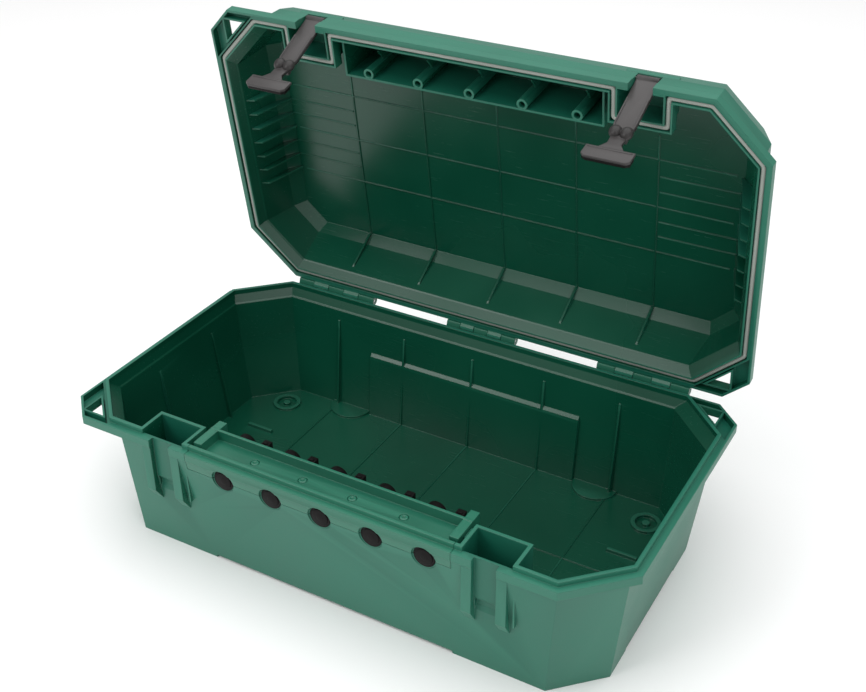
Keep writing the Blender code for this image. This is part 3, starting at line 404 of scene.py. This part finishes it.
def seal_line():
    """The cord's middle line with the lid shut, seen from above."""
    x, y, cut = half_length - seal_inset, half_width - seal_inset, corner_cut - 0.586 * seal_inset
    ring = [(-x + cut, -y)]
    for side in (-1, 1):
        middle, reach, rear = side * 0.1475, 0.0217, -half_width + 0.0320
        ring += [(middle - reach, -y), (middle - reach, rear), (middle + reach, rear), (middle + reach, -y)]
    return ring + [(x - cut, -y), (x, -y + cut), (x, y - cut), (x - cut, y), (-x + cut, y), (-x, y - cut),
                   (-x, -y + cut)]


def rounded(ring, radius, steps=5):
    """The same line with every corner turned into a short curve."""
    out = []
    for i, corner in enumerate(ring):
        here = Vector(corner)
        a = (Vector(ring[i - 1]) - here).normalized() * radius
        b = (Vector(ring[(i + 1) % len(ring)]) - here).normalized() * radius
        out += [here + a * (1 - t) ** 2 + b * t ** 2 for t in (k / steps for k in range(steps + 1))]
    return out


def cord_mesh(line, profile):
    """Sweeps a (sideways, height) profile round a closed flat line."""
    bm = bmesh.new()
    rows = []
    for i, here in enumerate(line):
        along = (line[(i + 1) % len(line)] - line[i - 1]).normalized()
        across = Vector((along.y, -along.x))
        rows.append([bm.verts.new((*(here + across * u), z)) for u, z in profile])
    for i, row in enumerate(rows):
        after = rows[(i + 1) % len(rows)]
        for k in range(len(profile)):
            j = (k + 1) % len(profile)
            bm.faces.new((row[k], row[j], after[j], after[k]))
    return bm


cord_face, cord_back, cord_half = 0.1190, 0.1259, 0.0019
profile = [(-cord_half, cord_back), (cord_half, cord_back)]
profile += [(cord_half * math.cos(t), cord_face + 0.0012 - 0.0012 * math.sin(t))
            for t in (k * math.pi / 8 for k in range(9))]
cord = cord_mesh(rounded(seal_line(), 0.0022), profile)
bmesh.ops.transform(cord, matrix=open_lid, verts=cord.verts)
gasket = finished("gasket_cord", cord, foam, "lid", 60)
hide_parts("lid_gasket")
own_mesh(gasket)
print("cord points:", len(gasket.data.vertices))

# %% [markdown]
# ## Seal faces
#
# Each cable seal is closed by a thin flat skin with a small nub in the middle. The owner cuts the nub off to suit
# the cable, so that the rubber grips it all round.

# %% Five faces
faces_bm = bmesh.new()
upright = Matrix(((1, 0, 0, 0), (0, 0, 1, 0), (0, 1, 0, 0), (0, 0, 0, 1)))
for i in range(5):
    low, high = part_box(f"cable_seal_{i + 1}")
    x, z, face = (low[0] + high[0]) / 2, (low[2] + high[2]) / 2, low[1]
    for radius, tall in ((0.0072, 0.0006), (0.0030, 0.0004)):
        outer = [(x + radius * math.cos(t), z + radius * math.sin(t)) for t in
                 (k * math.pi / 20 for k in range(40))]
        slab(faces_bm, outer, face - tall, face + 0.0018, upright, 0.0003)
finished("seal_faces", faces_bm, rubber, "base")
print("seal faces built")

# %% [markdown]
# ## Rubber behind the cable ports
#
# Behind the clamp strip the five seals end in one black rubber comb. It has a square lug behind each cable and a
# low arch between two cables.

# %% The comb
comb = bmesh.new()
stand = Matrix(((1, 0, 0, 0), (0, 0, 1, 0), (0, 1, 0, 0), (0, 0, 0, 1)))
slab(comb, [(-0.112, 0.0945), (0.116, 0.0945), (0.116, 0.1010), (-0.112, 0.1010)], -0.0895, -0.0820, stand, 0.0005)
for i in range(5):
    x = 0.0108 + 0.0450 * (i - 2)
    slab(comb, [(x - 0.0036, 0.099), (x + 0.0036, 0.099), (x + 0.0036, 0.1095), (x - 0.0036, 0.1095)],
         -0.0880, -0.0810, stand, 0.0006)
    slab(comb, [(x - 0.0022, 0.1085), (x + 0.0022, 0.1085), (x + 0.0022, 0.1108), (x - 0.0022, 0.1108)],
         -0.0872, -0.0850, stand, 0.0003)
    middle = x - 0.0225
    arch = [(middle + 0.0085 * math.cos(t), 0.0990 + 0.0088 * math.sin(t)) for t in
            (k * math.pi / 14 for k in range(15))]
    arch += [(middle + 0.0058 * math.cos(t), 0.0990 + 0.0060 * math.sin(t)) for t in
             (k * math.pi / 14 for k in range(14, -1, -1))]
    slab(comb, arch, -0.0880, -0.0800, stand, 0.0004)
finished("seal_comb", comb, rubber, "base")
print("comb built")

# %% [markdown]
# ## Camera and light
#
# The camera looks from the front right and well above, the way one looks down at a box on the ground. The light
# is a big soft one above and to the left, a weaker one from the right and a pale room all round.

# %% Camera and light
camera_place = Vector((0.4521, -0.7442, 0.7240))
camera_turn = (29.61, 31.98, -0.23)  # azimuth, elevation and roll, degrees
lens = 52.75


def aim(place, turn, lens_mm):
    """A camera from its place and its angles."""
    a, e, r = (math.radians(v) for v in turn)
    back = Vector((math.sin(a) * math.cos(e), -math.cos(a) * math.cos(e), math.sin(e)))
    right = Vector((math.cos(a), math.sin(a), 0))
    up = back.cross(right)
    right, up = math.cos(r) * right + math.sin(r) * up, -math.sin(r) * right + math.cos(r) * up
    data = bpy.data.cameras.new("camera")
    data.lens = lens_mm
    data.sensor_width = 36
    camera = bpy.data.objects.new("camera", data)
    bpy.context.scene.collection.objects.link(camera)
    turn_matrix = Matrix((right, up, back)).transposed().to_4x4()
    camera.matrix_world = Matrix.Translation(place) @ turn_matrix
    bpy.context.scene.camera = camera
    return camera


camera = aim(camera_place, camera_turn, lens)


def area_light(name, place, target, size, power, colour=(1, 1, 1)):
    data = bpy.data.lights.new(name, "AREA")
    data.shape = "RECTANGLE"
    data.size, data.size_y = size
    data.energy = power
    data.color = colour
    lamp = bpy.data.objects.new(name, data)
    bpy.context.scene.collection.objects.link(lamp)
    lamp.location = place
    lamp.rotation_euler = (Vector(target) - Vector(place)).to_track_quat("-Z", "Y").to_euler()
    return lamp


area_light("overhead", (0.1, 0.1, 2.6), (0.1, 0.1, 0.0), (4.0, 4.0), 85)
area_light("front_left", (-1.1, -1.9, 1.5), (0, 0, 0.15), (1.2, 1.0), 16)
area_light("front_right", (1.9, -1.2, 1.1), (0, 0, 0.15), (0.9, 1.2), 5)

world = bpy.data.worlds.new("room")
world.use_nodes = True
world.node_tree.nodes["Background"].inputs["Color"].default_value = (1, 1, 1, 1)
world.node_tree.nodes["Background"].inputs["Strength"].default_value = 0.45
bpy.context.scene.world = world
bpy.context.scene.view_settings.view_transform = "Standard"

floor_mesh = bpy.data.meshes.new("floor")
floor_mesh.from_pydata([(-6, -6, 0), (6, -6, 0), (6, 6, 0), (-6, 6, 0)], [], [(0, 1, 2, 3)])
floor = bpy.data.objects.new("floor", floor_mesh)
bpy.context.scene.collection.objects.link(floor)
floor_paint = bpy.data.materials.new("pale_floor")
floor_paint.use_nodes = True
floor_paint.node_tree.nodes["Principled BSDF"].inputs["Base Color"].default_value = (0.94, 0.94, 0.94, 1)
floor_paint.node_tree.nodes["Principled BSDF"].inputs["Roughness"].default_value = 0.9
floor_mesh.materials.append(floor_paint)
